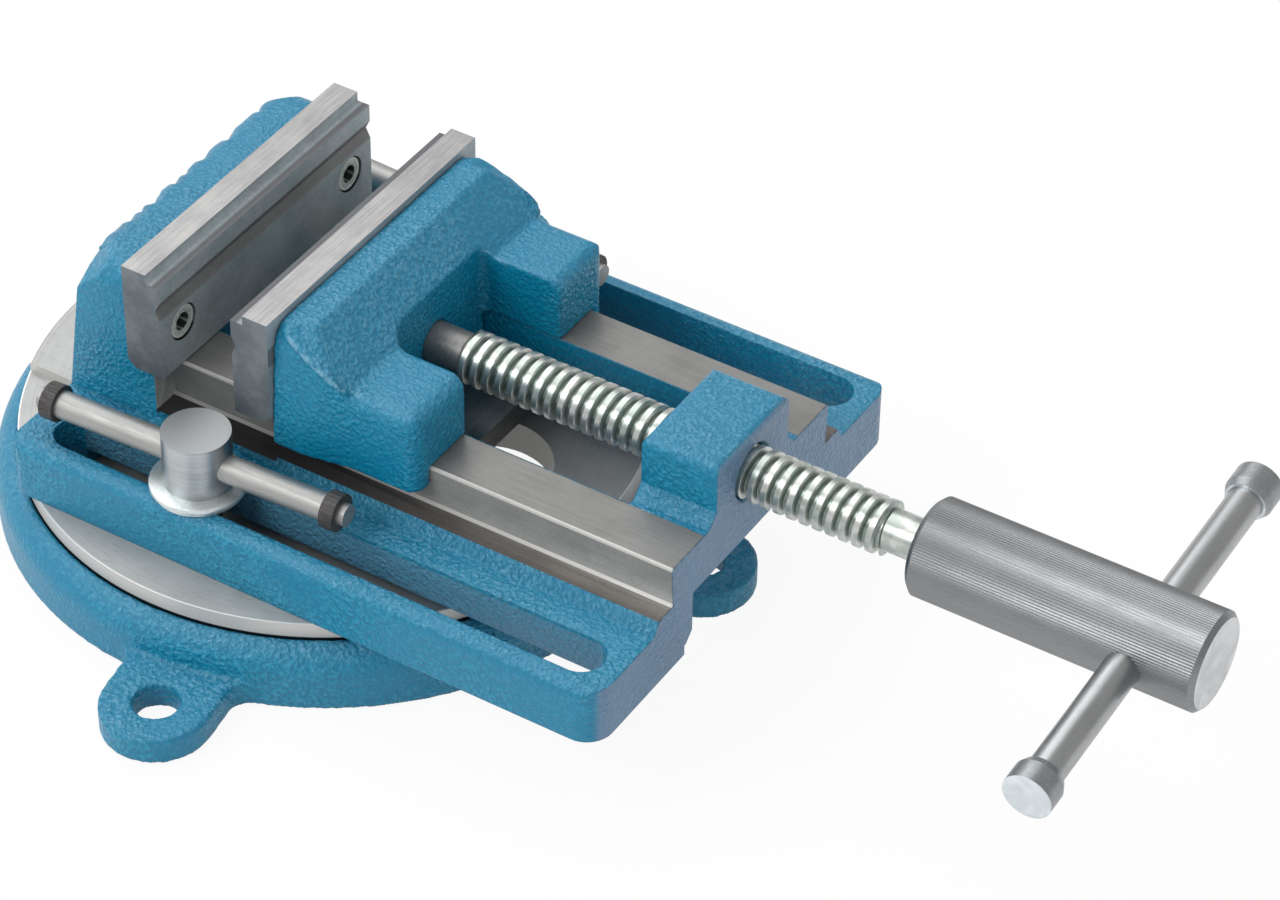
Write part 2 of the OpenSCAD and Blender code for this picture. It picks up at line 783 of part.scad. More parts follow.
module keeper_plate() {
    half = arch_w / 2 - slide_gap * 2;
    color(ground) difference() {
        translate([movable_back - keeper_back, -half, keeper_top - keeper_t])
            cube([keeper_l, 2 * half, keeper_t]);
        for (s = [-1, 1]) translate([movable_back + keeper_screw_x, s * keeper_screw_y, keeper_top - keeper_t]) {
            translate([0, 0, -cut]) cylinder(h = keeper_t + 2 * cut, d = keeper_screw_d + 2 * seat_gap);
            translate([0, 0, -cut]) cylinder(h = keeper_head_h + cut, d = keeper_head_d + 2 * seat_gap);
        }
    }
}

module keeper_screws() {
    color(bright) for (s = [-1, 1])
        translate([movable_back + keeper_screw_x, s * keeper_screw_y, keeper_top - keeper_t])
            difference() {
                union() {
                    cylinder(h = keeper_head_h, d = keeper_head_d);
                    cylinder(h = keeper_screw_l, d = keeper_screw_d);
                }
                translate([0, 0, -cut]) cylinder(h = keeper_head_h / 2 + cut, d = keeper_socket_d, $fn = 6);
            }
}

// Outline of the spindle, radius against length from the nose's end
module spindle_section() {
    nose = nose_d / 2;
    root = thread_root_d / 2;
    crest = thread_d / 2;
    neck = neck_d / 2;
    start = nose_depth + thread_start;
    flank = (thread_pitch - crest_w - root_w) / 2;
    total = start + thread_turns * thread_pitch + neck_l + neck_depth;
    notch = pin_y - pin_d / 2 - fit_gap;
    threads = [for (i = [0 : thread_turns - 1]) let (x = start + i * thread_pitch) each
        [[root, x], [root, x + root_w], [crest, x + root_w + flank], [crest, x + root_w + flank + crest_w]]];
    finish = start + thread_turns * thread_pitch;
    polygon(concat(
        [[0, 0], [nose, 0], [nose, groove_x - pin_d / 2 - fit_gap], [notch, groove_x - pin_d / 2 - fit_gap],
            [notch, groove_x + pin_d / 2 + fit_gap], [nose, groove_x + pin_d / 2 + fit_gap], [nose, start]],
        threads,
        [[neck, finish], [neck, total], [0, total]]
    ));
}

module spindle() {
    color(bright) translate([nose_end, 0, spindle_z]) rotate([0, 90, 0]) rotate_extrude() spindle_section();
}

module spindle_pin() {
    color(dark_steel) translate([nose_end + groove_x, pin_y, keeper_top]) cylinder(h = pin_l, d = pin_d);
}

// Places its children on the cross bar's axis, with their Z along the bar
module on_bar() {
    translate([bar_x, 0, spindle_z]) rotate([bar_turn - 90, 0, 0]) children();
}

module handle_hub() {
    color(ground) difference() {
        translate([hub_x, 0, spindle_z]) rotate([0, 90, 0]) difference() {
            union() {
                cylinder(h = hub_chamfer, d1 = hub_d - 2 * hub_chamfer, d2 = hub_d);
                translate([0, 0, hub_chamfer]) cylinder(h = hub_l - 2 * hub_chamfer, d = hub_d);
                translate([0, 0, hub_l - hub_chamfer])
                    cylinder(h = hub_chamfer, d1 = hub_d, d2 = hub_d - 2 * hub_chamfer);
            }
            translate([0, 0, -cut]) cylinder(h = neck_depth + cut + blind_gap, d = neck_d + 2 * seat_gap);
        }
        on_bar() translate([0, 0, -hub_d]) cylinder(h = 2 * hub_d, d = bar_d + 2 * fit_gap);
    }
}

module handle_bar() {
    color(bright) on_bar() translate([0, 0, -cap_x - cap_l / 2]) cylinder(h = 2 * cap_x + cap_l, d = bar_d);
}

module handle_caps() {
    color(bright) for (s = [0, 1]) on_bar() mirror([0, 0, s]) translate([0, 0, cap_x]) difference() {
        union() {
            cylinder(h = cap_taper, d1 = cap_neck_d, d2 = cap_d);
            translate([0, 0, cap_taper]) cylinder(h = cap_l - cap_taper, d = cap_d);
        }
        translate([0, 0, -cut]) cylinder(h = cap_l / 2 + cut, d = bar_d + 2 * seat_gap);
    }
}

// Places its children on a clamp's axis, s being -1 on the near side and 1 on the far side
module at_clamp(s) {
    translate([0, s * slot_y, 0]) children();
}

// Places its children on a clamp bar's axis, with their Z along the bar
module on_clamp_bar(s) {
    at_clamp(s) translate([0, 0, head_seat + clamp_bar_h]) rotate([0, 90, -s * clamp_turn]) children();
}

// Places its children on a clamp bar as it stands in its bolt
module on_shifted_bar(s) {
    on_clamp_bar(s) translate([0, 0, s < 0 ? -near_bar_shift : 0]) children();
}

module clamp_bolt(s) {
    shank = head_seat - slot_nut_lift - slot_nut_lift;
    color(bright) difference() {
        union() {
            at_clamp(s) translate([0, 0, head_seat]) cylinder(h = clamp_head_h, d = clamp_head_d);
            at_clamp(s) translate([0, 0, head_seat - shank]) cylinder(h = shank, d = clamp_shank_d);
        }
        on_clamp_bar(s) translate([0, 0, -clamp_head_d])
            cylinder(h = 2 * clamp_head_d, d = clamp_bar_d + 2 * bar_gap);
    }
}

module washer(s) {
    color(bright) at_clamp(s) translate([0, 0, flange_top]) difference() {
        cylinder(h = washer_t, d = washer_d);
        translate([0, 0, -cut]) cylinder(h = washer_t + 2 * cut, d = clamp_shank_d + 2 * bolt_gap);
    }
}

module clamp_bar(s) {
    color(ground) on_shifted_bar(s) union() {
        translate([0, 0, -ring_x]) cylinder(h = 2 * ring_x, d = clamp_bar_d);
        translate([0, 0, -clamp_bar_l / 2]) cylinder(h = clamp_bar_l, d = clamp_stub_d);
    }
}

module bar_rings(s) {
    color(dark_steel) for (m = [0, 1]) on_shifted_bar(s) mirror([0, 0, m]) translate([0, 0, ring_x]) difference() {
        cylinder(h = ring_w, d = ring_d);
        translate([0, 0, -cut]) cylinder(h = ring_w + 2 * cut, d = clamp_stub_d + 2 * seat_gap);
    }
}

// Nut below the turntable, with a finger that grips the base's seat from below
module slot_nut(s) {
    body_out = seat_in_r - bolt_gap;
    finger_out = seat_in_r + slot_nut_reach;
    body_top = seat_h - grip_gap;
    finger_top = seat_h - seat_t - grip_gap;
    color(dark_steel) difference() {
        intersection() {
            translate([-slot_nut_w / 2, s > 0 ? slot_nut_in : -finger_out, slot_nut_lift])
                cube([slot_nut_w, finger_out - slot_nut_in, body_top - slot_nut_lift]);
            union() {
                cylinder(h = body_top, r = body_out);
                cylinder(h = finger_top, r = finger_out);
            }
        }
        at_clamp(s) cylinder(h = seat_h, d = clamp_shank_d + 2 * seat_gap);
    }
}

module near_clamp_bolt() { clamp_bolt(-1); }
module near_washer() { washer(-1); }
module near_clamp_bar() { clamp_bar(-1); }
module near_bar_rings() { bar_rings(-1); }
module near_slot_nut() { slot_nut(-1); }
module far_clamp_bolt() { clamp_bolt(1); }
module far_washer() { washer(1); }
module far_clamp_bar() { clamp_bar(1); }
module far_bar_rings() { bar_rings(1); }
module far_slot_nut() { slot_nut(1); }

base();
turntable();
bed();
fixed_jaw_plate();
fixed_jaw_screws();
movable_jaw();
movable_jaw_plate();
movable_jaw_screws();
keeper_plate();
keeper_screws();
spindle();
spindle_pin();
handle_hub();
handle_bar();
handle_caps();
near_clamp_bolt();
near_washer();
near_clamp_bar();
near_bar_rings();
near_slot_nut();
far_clamp_bolt();
far_washer();
far_clamp_bar();
far_bar_rings();
far_slot_nut();
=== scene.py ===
import math
import random
import bmesh
import bpy
from mathutils import Matrix, Vector


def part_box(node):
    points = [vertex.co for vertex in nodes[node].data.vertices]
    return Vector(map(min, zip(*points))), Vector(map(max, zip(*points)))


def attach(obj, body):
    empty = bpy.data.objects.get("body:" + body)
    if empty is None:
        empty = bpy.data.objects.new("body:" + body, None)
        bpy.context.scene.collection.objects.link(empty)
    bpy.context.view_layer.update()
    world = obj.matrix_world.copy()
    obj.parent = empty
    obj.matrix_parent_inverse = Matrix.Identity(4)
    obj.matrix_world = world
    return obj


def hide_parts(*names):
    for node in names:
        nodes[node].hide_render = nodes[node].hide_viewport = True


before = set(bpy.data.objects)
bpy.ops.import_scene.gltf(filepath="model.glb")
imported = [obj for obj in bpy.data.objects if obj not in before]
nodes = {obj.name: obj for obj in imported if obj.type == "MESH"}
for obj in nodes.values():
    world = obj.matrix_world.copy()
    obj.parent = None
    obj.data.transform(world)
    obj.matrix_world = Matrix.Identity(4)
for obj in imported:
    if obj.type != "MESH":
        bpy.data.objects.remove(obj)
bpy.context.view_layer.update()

mm = 0.001
print("frame loaded:", len(nodes), "nodes")


def axisOf(node):
    low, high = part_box(node)
    return (low + high) / 2


# Places that several pieces share, all taken from the frame
bedLow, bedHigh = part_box("bed")
jawLow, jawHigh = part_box("movable_jaw")
plateLow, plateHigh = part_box("movable_jaw_plate")
discLow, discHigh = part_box("turntable")
hubLow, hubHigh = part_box("handle_hub")
spindleLow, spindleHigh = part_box("spindle")
spindleZ = axisOf("spindle").z
plateLift = 0.5 * mm  # the gap below the jaw plates
wayTop = plateLow.z - plateLift
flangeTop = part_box("near_washer")[0].z
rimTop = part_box("base")[1].z
slotHalf = 6.8  # half the slots' width
slotInner = abs(axisOf("near_washer").y) / mm - slotHalf


class Signal:
    # a node's output that adds a Math node wherever it is calculated with
    def __init__(self, finish, socket):
        self.finish = finish
        self.socket = socket

    def sum(self, operation, *values):
        return self.finish.add("ShaderNodeMath", {"operation": operation}, dict(enumerate(values)))

    def __add__(self, other): return self.sum("ADD", self, other)
    def __sub__(self, other): return self.sum("SUBTRACT", self, other)
    def __mul__(self, other): return self.sum("MULTIPLY", self, other)
    def __pow__(self, other): return self.sum("POWER", self, other)
    def __radd__(self, other): return self.sum("ADD", other, self)
    def __rsub__(self, other): return self.sum("SUBTRACT", other, self)
    def __rmul__(self, other): return self.sum("MULTIPLY", other, self)


class Finish:
    # a material that is being made, with its place on the piece in millimetres
    def __init__(self, name, **constants):
        self.material = bpy.data.materials.new(name)
        self.material.use_nodes = True
        self.tree = self.material.node_tree
        self.shader = self.tree.nodes["Principled BSDF"]
        for key, value in constants.items():
            self.shader.inputs[key.replace("_", " ")].default_value = value
        coords = self.tree.nodes.new("ShaderNodeTexCoord")
        metres = Signal(self, coords.outputs["Object"])
        self.place = self.scaled(metres, 1 / mm)
        split = self.tree.nodes.new("ShaderNodeSeparateXYZ")
        self.join(self.place, split.inputs[0])
        self.x, self.y, self.z = (Signal(self, split.outputs[i]) for i in range(3))
        facing = self.tree.nodes.new("ShaderNodeSeparateXYZ")
        self.tree.links.new(coords.outputs["Normal"], facing.inputs[0])
        self.faceX, self.faceY, self.faceZ = (Signal(self, facing.outputs[i]) for i in range(3))

    def join(self, value, socket):
        if isinstance(value, Signal):
            self.tree.links.new(value.socket, socket)
        elif value is not None:
            socket.default_value = value

    def add(self, kind, settings=None, sockets=None, output=0):
        node = self.tree.nodes.new(kind)
        for key, value in (settings or {}).items():
            if key == "stops":
                ramp = node.color_ramp
                while len(ramp.elements) < len(value):
                    ramp.elements.new(1.0)
                for element, (position, colour) in zip(ramp.elements, value):
                    element.position = position
                    element.color = colour
            else:
                setattr(node, key, value)
        for key, value in (sockets or {}).items():
            self.join(value, node.inputs[key])
        return Signal(self, node.outputs[output])

    def scaled(self, vector, factor):
        return self.add("ShaderNodeVectorMath", {"operation": "SCALE"}, {0: vector, "Scale": factor})

    def stretched(self, factors):
        return self.add("ShaderNodeVectorMath", {"operation": "MULTIPLY"}, {0: self.place, 1: factors})

    def noise(self, scale, detail=2.0, rough=0.5, distortion=0.0, vector=None):
        return self.add("ShaderNodeTexNoise", {"noise_dimensions": "3D"}, {
            "Vector": vector or self.place, "Scale": scale, "Detail": detail,
            "Roughness": rough, "Distortion": distortion})

    def cells(self, scale, smooth):
        return self.add("ShaderNodeTexVoronoi", {"feature": "SMOOTH_F1"}, {
            "Vector": self.place, "Scale": scale, "Smoothness": smooth})

    def step(self, value, low, high, bottom=0.0, top=1.0):
        # a smooth change from bottom to top while value goes from low to high
        return self.add("ShaderNodeMapRange", {"interpolation_type": "SMOOTHSTEP"}, {
            "Value": value, "From Min": low, "From Max": high, "To Min": bottom, "To Max": top})

    def mix(self, factor, first, second):
        return self.add("ShaderNodeMix", {"data_type": "RGBA"}, {
            0: factor, 6: shade(first), 7: shade(second)}, 2)

    def away(self, value):
        # how far a place is from the middle plane, on either side
        return value.sum("ABSOLUTE", value)

    def finish(self, colour, roughness, metallic, height, depth, strength, edge=0.0):
        # depth is the relief's height and edge the radius of the seen rounding, in millimetres
        self.join(colour, self.shader.inputs["Base Color"])
        self.join(roughness, self.shader.inputs["Roughness"])
        self.join(metallic, self.shader.inputs["Metallic"])
        rounded = self.add("ShaderNodeBevel", {"samples": 4}, {"Radius": edge * mm}) if edge else None
        relief = self.add("ShaderNodeBump", {}, {
            "Height": height, "Distance": depth * mm, "Strength": strength, "Normal": rounded})
        self.join(relief, self.shader.inputs["Normal"])
        return self.material


def shade(colour):
    # a colour as seen on a screen, in 0 to 255, made linear
    if isinstance(colour, Signal):
        return colour
    linear = [c / 255 / 12.92 if c < 10.3 else ((c / 255 + 0.055) / 1.055) ** 2.4 for c in colour]
    return (*linear, 1.0)


# colours of the hammered paint: pit is darker as painted shade and crest paler as painted highlight, top a painted
# highlight on faces that look up, front and wall painted reflections on the bed's front face and on the slots' inner
# walls
paint = {
    "pit": (0, 118, 154), "body": (6, 130, 164), "crest": (38, 142, 177), "top": (98, 138, 166),
    "front": (108, 132, 162), "wall": (104, 148, 172), "cell": 0.62, "blend": 0.35, "wrinkle": 0.9,
    "relief": 0.6, "rough": 0.27, "round": 0.9,
}
# the bead on each cheek of the movable jaw, from (x, z) past the jaw plate and above the ways, and the paler colour of
# the painted highlight along it
cheek = {
    "start": (2.0, 32.0), "elbow": (26.0, 19.6), "lean": 0.7, "most": 3.5, "reach": 12.0, "bead": 1.2,
    "width": 1.4, "groove": 0.8, "glintColour": (128, 176, 200),
}
# the uneven cast edge at the back of the fixed jaw
tornEdge = {
    "seed": 11, "pitch": 2.5, "reach": 45.0, "low": 25.0, "front": -44.4, "fade": 1.5, "depth": 1.4, "drop": 0.9,
    "cutFront": -30.0, "cutLow": 10.0,
    "paintFront": -43.5, "paintBack": -46.0, "paintLow": 24.0, "paintHigh": 28.0,
}


def beadGlint(f):
    # a painted highlight along the bead's ridge, broken up by noise
    (startX, startZ), (elbowX, elbowZ) = cheek["start"], cheek["elbow"]
    length = math.hypot(elbowX - startX, elbowZ - startZ)
    x, z = f.x - plateHigh.x / mm - startX, f.z - wayTop / mm - startZ
    above = z * ((elbowX - startX) / length) - x * ((elbowZ - startZ) / length)
    glintLine = f.step((above - 0.1) ** 2.0, 1.3, 0.1) * f.step(f.faceY ** 2.0, 0.08, 0.4)
    return glintLine * f.step(x, 0.5, 4.0) * f.step(x, elbowX + 1.0, elbowX - 4.0) * f.step(f.noise(0.5), 0.3, 0.55)


def hammerPaint(name, bare=None, bareLook=None, front=None, glintLine=None):
    # hammered enamel: fine wrinkled cells, darker in the pits as painted shade and paler on the crests as painted
    # highlight
    f = Finish(name, Specular_IOR_Level=0.5)
    warp = f.noise(0.35, 2.0)
    swirl = f.noise(paint["wrinkle"], 2.0, 0.5, 0.2)
    smoother = f.step(f.noise(0.028, 1.0), 0.4, 0.6, 0.5, 1.0)
    bumps = f.cells(paint["cell"], paint["blend"])
    height = (f.step(swirl, 0.34, 0.66) * 0.5 + f.step(bumps, 0.1, 0.75, 1.0, 0.0) * 0.5) * smoother
    tone = f.step(height + (warp - 0.5) * 0.35, 0.05, 1.0)
    colour = f.add("ShaderNodeValToRGB", {"stops": [
        (0.0, shade(paint["pit"])), (0.4, shade(paint["body"])), (1.0, shade(paint["crest"]))]}, {0: tone})
    # painted highlight: faces that look up, their crests most, take the paler top colour
    colour = f.mix(f.step(f.faceZ, 0.35, 0.9) * (tone * 0.4 + 0.08), colour, paint["top"])
    if front is not None:
        # painted reflection: the bed's front face is paler and greyer, broken up in runs
        runs = f.noise(0.9, 3.0, 0.6, vector=f.stretched((1.0, 1.0, 0.12)))
        onFront = f.step(f.faceX, 0.6, 0.9) * f.step(f.x, front - 3.0, front - 1.0)
        colour = f.mix(onFront * (0.5 + runs * 0.6), colour, paint["front"])
        # painted reflection: the slots' inner walls are paler and greyer
        inWall = f.step((f.away(f.y) - slotInner) ** 2.0, 0.5, 0.2) * f.step(f.faceY ** 2.0, 0.5, 0.8)
        inWall = inWall * f.step(f.z, flangeTop / mm - 0.6, flangeTop / mm - 1.6)
        colour = f.mix(inWall * (0.3 + runs * 0.5), colour, paint["wall"])
    # the painted highlight along the bead
    if glintLine:
        colour = f.mix(glintLine(f) * 0.6, colour, cheek["glintColour"])
    rough = paint["rough"] + (1.0 - tone) * 0.1
    if front is not None:
        # the fixed jaw's torn back edge is pitted, and a painted highlight makes it a little paler
        low, high = wayTop / mm + tornEdge["paintLow"], wayTop / mm + tornEdge["paintHigh"]
        torn = f.step(f.x, tornEdge["paintFront"], tornEdge["paintBack"]) * f.step(f.z, low, high)
        notch = f.step(f.noise(0.3, 2.0, 0.6, vector=f.stretched((0.4, 1.0, 0.4))), 0.5, 0.6) * torn
        colour = f.mix(torn * 0.25 + notch * 0.1, colour, paint["top"])
        height = height - notch * 0.8
    metal = None
    relief = height
    if bare:
        mask = bare(f)
        bareColour, bareRough, bareRelief = bareLook(f)
        colour = f.mix(mask, colour, bareColour)
        rough = rough + (bareRough - rough) * mask
        metal = mask * 0.35
        relief = height + (bareRelief - height) * mask
    return f.finish(colour, rough, metal, relief, paint["relief"], 0.9, paint["round"])


def steel(name, colour, rough, grain=(0.05, 1.0, 4.0), mottle=0.12, edge=0.35, relief=0.02, metal=1.0, ends=None):
    # bare steel with tool marks that run along the smallest grain value; ends gives its end faces another colour
    f = Finish(name, Metallic=metal)
    marks = f.noise(1.6, 4.0, 0.7, vector=f.stretched(grain))
    cloud = f.noise(0.09, 4.0, 0.65)
    tint = f.step(marks * 0.6 + cloud * 0.4, 0.3, 0.7)
    dark = tuple(c * (1 - mottle * 1.6) for c in colour)
    light = tuple(min(255, c * (1 + mottle)) for c in colour)
    shine = f.mix(tint, dark, light)
    if ends:
        facing = {"X": f.faceX, "Y": f.faceY}[ends[0]]
        swirl = f.step(f.noise(0.12, 2.0, 0.5, 1.2), 0.35, 0.65, 0.7, 1.0)
        shine = f.mix(f.step(facing * facing, 0.75, 0.9) * swirl, shine, ends[1])
    return f.finish(shine, rough + (0.5 - marks) * 0.25 + (cloud - 0.5) * 0.2, None, marks, relief, 0.8, edge)


# the disc's colours: its own, its paler side, a painted highlight round its top edge and a painted shadow in the gap
# below it
discLook = {"colour": (177, 177, 175), "side": (208, 205, 200), "glintLine": (244, 242, 238), "gapShadow": (14, 26, 32)}


def turnedSteel(name, centre, colour, rough, pitch, edge, relief, mottle, metal=1.0, rim=None, topShade=1.0):
    # steel with turning marks round an upright axis
    f = Finish(name, Metallic=metal)
    acrossX, acrossY = f.x - centre[0] / mm, f.y - centre[1] / mm
    radius = (acrossX * acrossX + acrossY * acrossY) ** 0.5
    rings = f.noise(1.0 / pitch, 3.0, 0.7, vector=f.add("ShaderNodeCombineXYZ", {}, {0: radius, 1: f.z}))
    cloud = f.noise(0.12, 3.0)
    tint = f.step(rings * 0.7 + cloud * 0.3, 0.3, 0.7)
    dark = tuple(c * (1 - mottle * 1.5) for c in colour)
    light = tuple(min(255, c * (1 + mottle)) for c in colour)
    shine = f.mix(tint, dark, light)
    upright = f.step(f.faceZ, 0.9, 0.7)
    if rim:
        # a few long scratches, a paler side, a painted highlight round the top edge and a painted shadow in the gap
        # below
        scratch = f.noise(0.5, 3.0, 0.75, vector=f.stretched((0.35, 1.6, 1.0)))
        shine = f.mix(f.step(scratch, 0.58, 0.66) * 0.4, shine, tuple(c * 0.8 for c in colour))
        shine = f.mix(upright * 0.8, shine, discLook["side"])
        shine = f.mix(f.step(radius, rim - 0.5, rim - 0.3) * (1.0 - upright), shine, discLook["glintLine"])
        gapShadow = f.step(f.z, rimTop / mm + 0.42, rimTop / mm + 0.3) * upright * f.step(radius, rim - 3.0, rim - 2.0)
        shine = f.mix(gapShadow, shine, discLook["gapShadow"])
    # painted shade: faces that look up are darkened by topShade
    if topShade != 1.0:
        shine = f.mix(1.0 - upright, shine, tuple(c * topShade for c in colour))
    return f.finish(shine, rough + (0.5 - rings) * 0.2, None, rings, relief, 0.8, edge)


# half widths across the bed, and stations along it where bare metal ends at the fixed jaw and the nut block
ways = {
    "half": 40.4, "ledge": 46.5, "channel": 24.0, "milled": 48.2, "milledEnd": 13.5, "jaw": -26.25,
    "nut": 112.0, "nutHalf": 22.0, "nutFloor": 46.0,
}
# the darkest ledge colour is painted shade near the jaws, and the bright corner colour a painted highlight on the
# machined corners
waysColours = {
    "top": [(112, 112, 110), (140, 140, 137)], "flank": [(108, 110, 110), (142, 144, 142)],
    "ledgeShadow": [(34, 32, 33), (52, 49, 49)], "greyLedge": [(92, 88, 84), (120, 116, 111)], "glintLine": (190, 190, 186),
}
ledgeTop = flangeTop / mm + 4


def waysMask(f):
    # the ground ways and the milled ledges beside them are bare
    side = f.away(f.y)
    half, ledge, milled, end = ways["half"], ways["ledge"], ways["milled"], bedHigh.x / mm
    above = f.step(f.z, ledgeTop - 0.25, ledgeTop - 0.05)
    onWay = f.step(side, half + 0.15, half + 0.02) * above
    onLedge = f.step(side, ledge + 0.12, ledge) * above
    onMilled = f.step(side, milled + 0.1, milled - 0.1) * f.step(f.z, ledgeTop - 1.2, ledgeTop - 1.0)
    onMilled = onMilled * f.step(f.x, ways["milledEnd"] + 0.5, ways["milledEnd"] - 0.5)
    outOfChannel = f.step(side, ways["channel"] + 0.15, ways["channel"] + 0.3)
    low = f.step(f.z, wayTop / mm + 0.2, wayTop / mm + 0.1)
    clearOfJaw = f.step(f.x, ways["jaw"] - 0.05, ways["jaw"] + 0.05)
    onNut = f.step(f.x, ways["nut"] + 0.3, ways["nut"] + 0.5) * f.step(side, ways["nutHalf"] + 0.2, ways["nutHalf"])
    clearOfEnd = f.step(f.x, end - 0.05, end - 0.15)
    bare = onWay.sum("MAXIMUM", onWay, onLedge)
    bare = bare.sum("MAXIMUM", bare, onMilled)
    return bare * outOfChannel * low * clearOfJaw * (1.0 - onNut) * clearOfEnd


def waysLook(f):
    # grey tops, lined sides, ledges darkened as painted shade near the jaws, and a painted highlight along every
    # machined corner
    side = f.away(f.y)
    marks = f.noise(1.3, 4.0, 0.7, vector=f.stretched((0.03, 1.0, 3.0)))
    fleck = f.noise(2.2, 3.0, 0.7)
    cloud = f.noise(0.07, 4.0, 0.6)
    tint = f.step(marks * 0.35 + cloud * 0.35 + fleck * 0.3, 0.3, 0.7)
    top, flank, ledgeShadow, greyLedge = (
        f.mix(tint, *waysColours[part]) for part in ("top", "flank", "ledgeShadow", "greyLedge"))
    # painted shade: the ledges are darkest at the back, under the jaws, and greyer towards the front
    ledge = f.mix(f.step(f.x, 20.0, 110.0), ledgeShadow, greyLedge)
    onTop = f.step(f.z, wayTop / mm - 0.5, wayTop / mm - 0.3)
    onFlank = f.step(f.z, ledgeTop + 0.1, ledgeTop + 0.4)
    colour = f.mix(onTop, f.mix(onFlank, ledge, flank), top)
    half = ways["half"]
    # painted highlights along the ways' top corners and their foot
    corner = f.step(side, half - 0.9, half - 0.6) * f.step(f.z, wayTop / mm - 1.0, wayTop / mm - 0.7)
    foot = f.step(f.z, ledgeTop + 1.0, ledgeTop + 0.6) * f.step(side, half - 0.1, half - 0.4)
    colour = f.mix(corner.sum("MAXIMUM", corner, foot * 0.8), colour, waysColours["glintLine"])
    return colour, 0.4 + (0.5 - marks) * 0.2, 0.45 + marks * 0.06


def newPiece(name, bm, body, material, smoothAngle, replaced):
    bmesh.ops.recalc_face_normals(bm, faces=bm.faces)
    mesh = bpy.data.meshes.new(name)
    bm.to_mesh(mesh)
    bm.free()
    place(name, mesh, body, material, smoothAngle, replaced)


def place(name, mesh, body, material, smoothAngle, replaced):
    for polygon in mesh.polygons:
        polygon.use_smooth = True
    mesh.set_sharp_from_angle(angle=math.radians(smoothAngle))
    mesh.materials.clear()
    mesh.materials.append(material)
    piece = bpy.data.objects.new(name, mesh)
    bpy.context.collection.objects.link(piece)
    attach(piece, body)
    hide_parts(*replaced)


def mergedCopy(node):
    # a node's triangles, joined again into whole faces
    bm = bmesh.new()
    bm.from_mesh(nodes[node].data)
    bmesh.ops.remove_doubles(bm, verts=bm.verts, dist=0.002 * mm)
    bmesh.ops.dissolve_degenerate(bm, edges=bm.edges, dist=0.001 * mm)
    bmesh.ops.dissolve_limit(bm, angle_limit=math.radians(0.5), verts=bm.verts, edges=bm.edges)
    return bm


def bevelEdges(bm, edges, width, segments):
    bmesh.ops.bevel(bm, geom=edges, offset=width, offset_type="OFFSET", segments=segments, profile=0.5,
                    affect="EDGES", clamp_overlap=True, material=-1)


def sharpEdges(bm, angle, test=lambda edge: True):
    return [e for e in bm.edges if e.is_manifold and e.is_convex
            and e.calc_face_angle() > math.radians(angle) and test(e)]


def softened(node, name, voxel, rounds, bevel):
    # a casting's copy with every edge worn round: bevelled, remeshed, pulled back to the bevelled copy and smoothed
    bm = mergedCopy(node)
    bevelEdges(bm, sharpEdges(bm, 40), bevel * mm, 3)
    mesh = bpy.data.meshes.new(name)
    bm.to_mesh(mesh)
    bm.free()
    exact = bpy.data.objects.new(name + "Exact", mesh)
    rough = bpy.data.objects.new(name + "Rough", mesh)
    for copy in (exact, rough):
        bpy.context.collection.objects.link(copy)
    remesh = rough.modifiers.new("skin", "REMESH")
    remesh.mode = "VOXEL"
    remesh.voxel_size = voxel * mm
    snap = rough.modifiers.new("snap", "SHRINKWRAP")
    snap.target = exact
    snap.wrap_method = "NEAREST_SURFACEPOINT"
    smooth = rough.modifiers.new("soften", "SMOOTH")
    smooth.factor = 0.5
    smooth.iterations = rounds
    graph = bpy.context.evaluated_depsgraph_get()
    made = bpy.data.meshes.new_from_object(rough.evaluated_get(graph))
    for copy in (exact, rough):
        bpy.data.objects.remove(copy)
    return made


def revolved(profile, centre, axis="X", steps=64):
    # a closed turned solid from points of (along, radius) that end on the axis or where they began
    bm = bmesh.new()
    verts = [bm.verts.new((along, 0.0, radius)) for along, radius in profile]
    edges = [bm.edges.new(pair) for pair in zip(verts, verts[1:])]
    bmesh.ops.spin(bm, geom=verts + edges, cent=(0, 0, 0), axis=(1, 0, 0), angle=math.tau, steps=steps,
                   use_merge=True, use_duplicate=False)
    bmesh.ops.remove_doubles(bm, verts=bm.verts, dist=0.001 * mm)
    if axis == "Z":
        bmesh.ops.rotate(bm, verts=bm.verts, cent=(0, 0, 0), matrix=Matrix.Rotation(-math.pi / 2, 3, "Y"))
    bmesh.ops.translate(bm, verts=bm.verts, vec=centre)
    return bm


def smoothShare(value):
    # eases a share between 0 and 1 in and out
    return value * value * (3 - 2 * value)


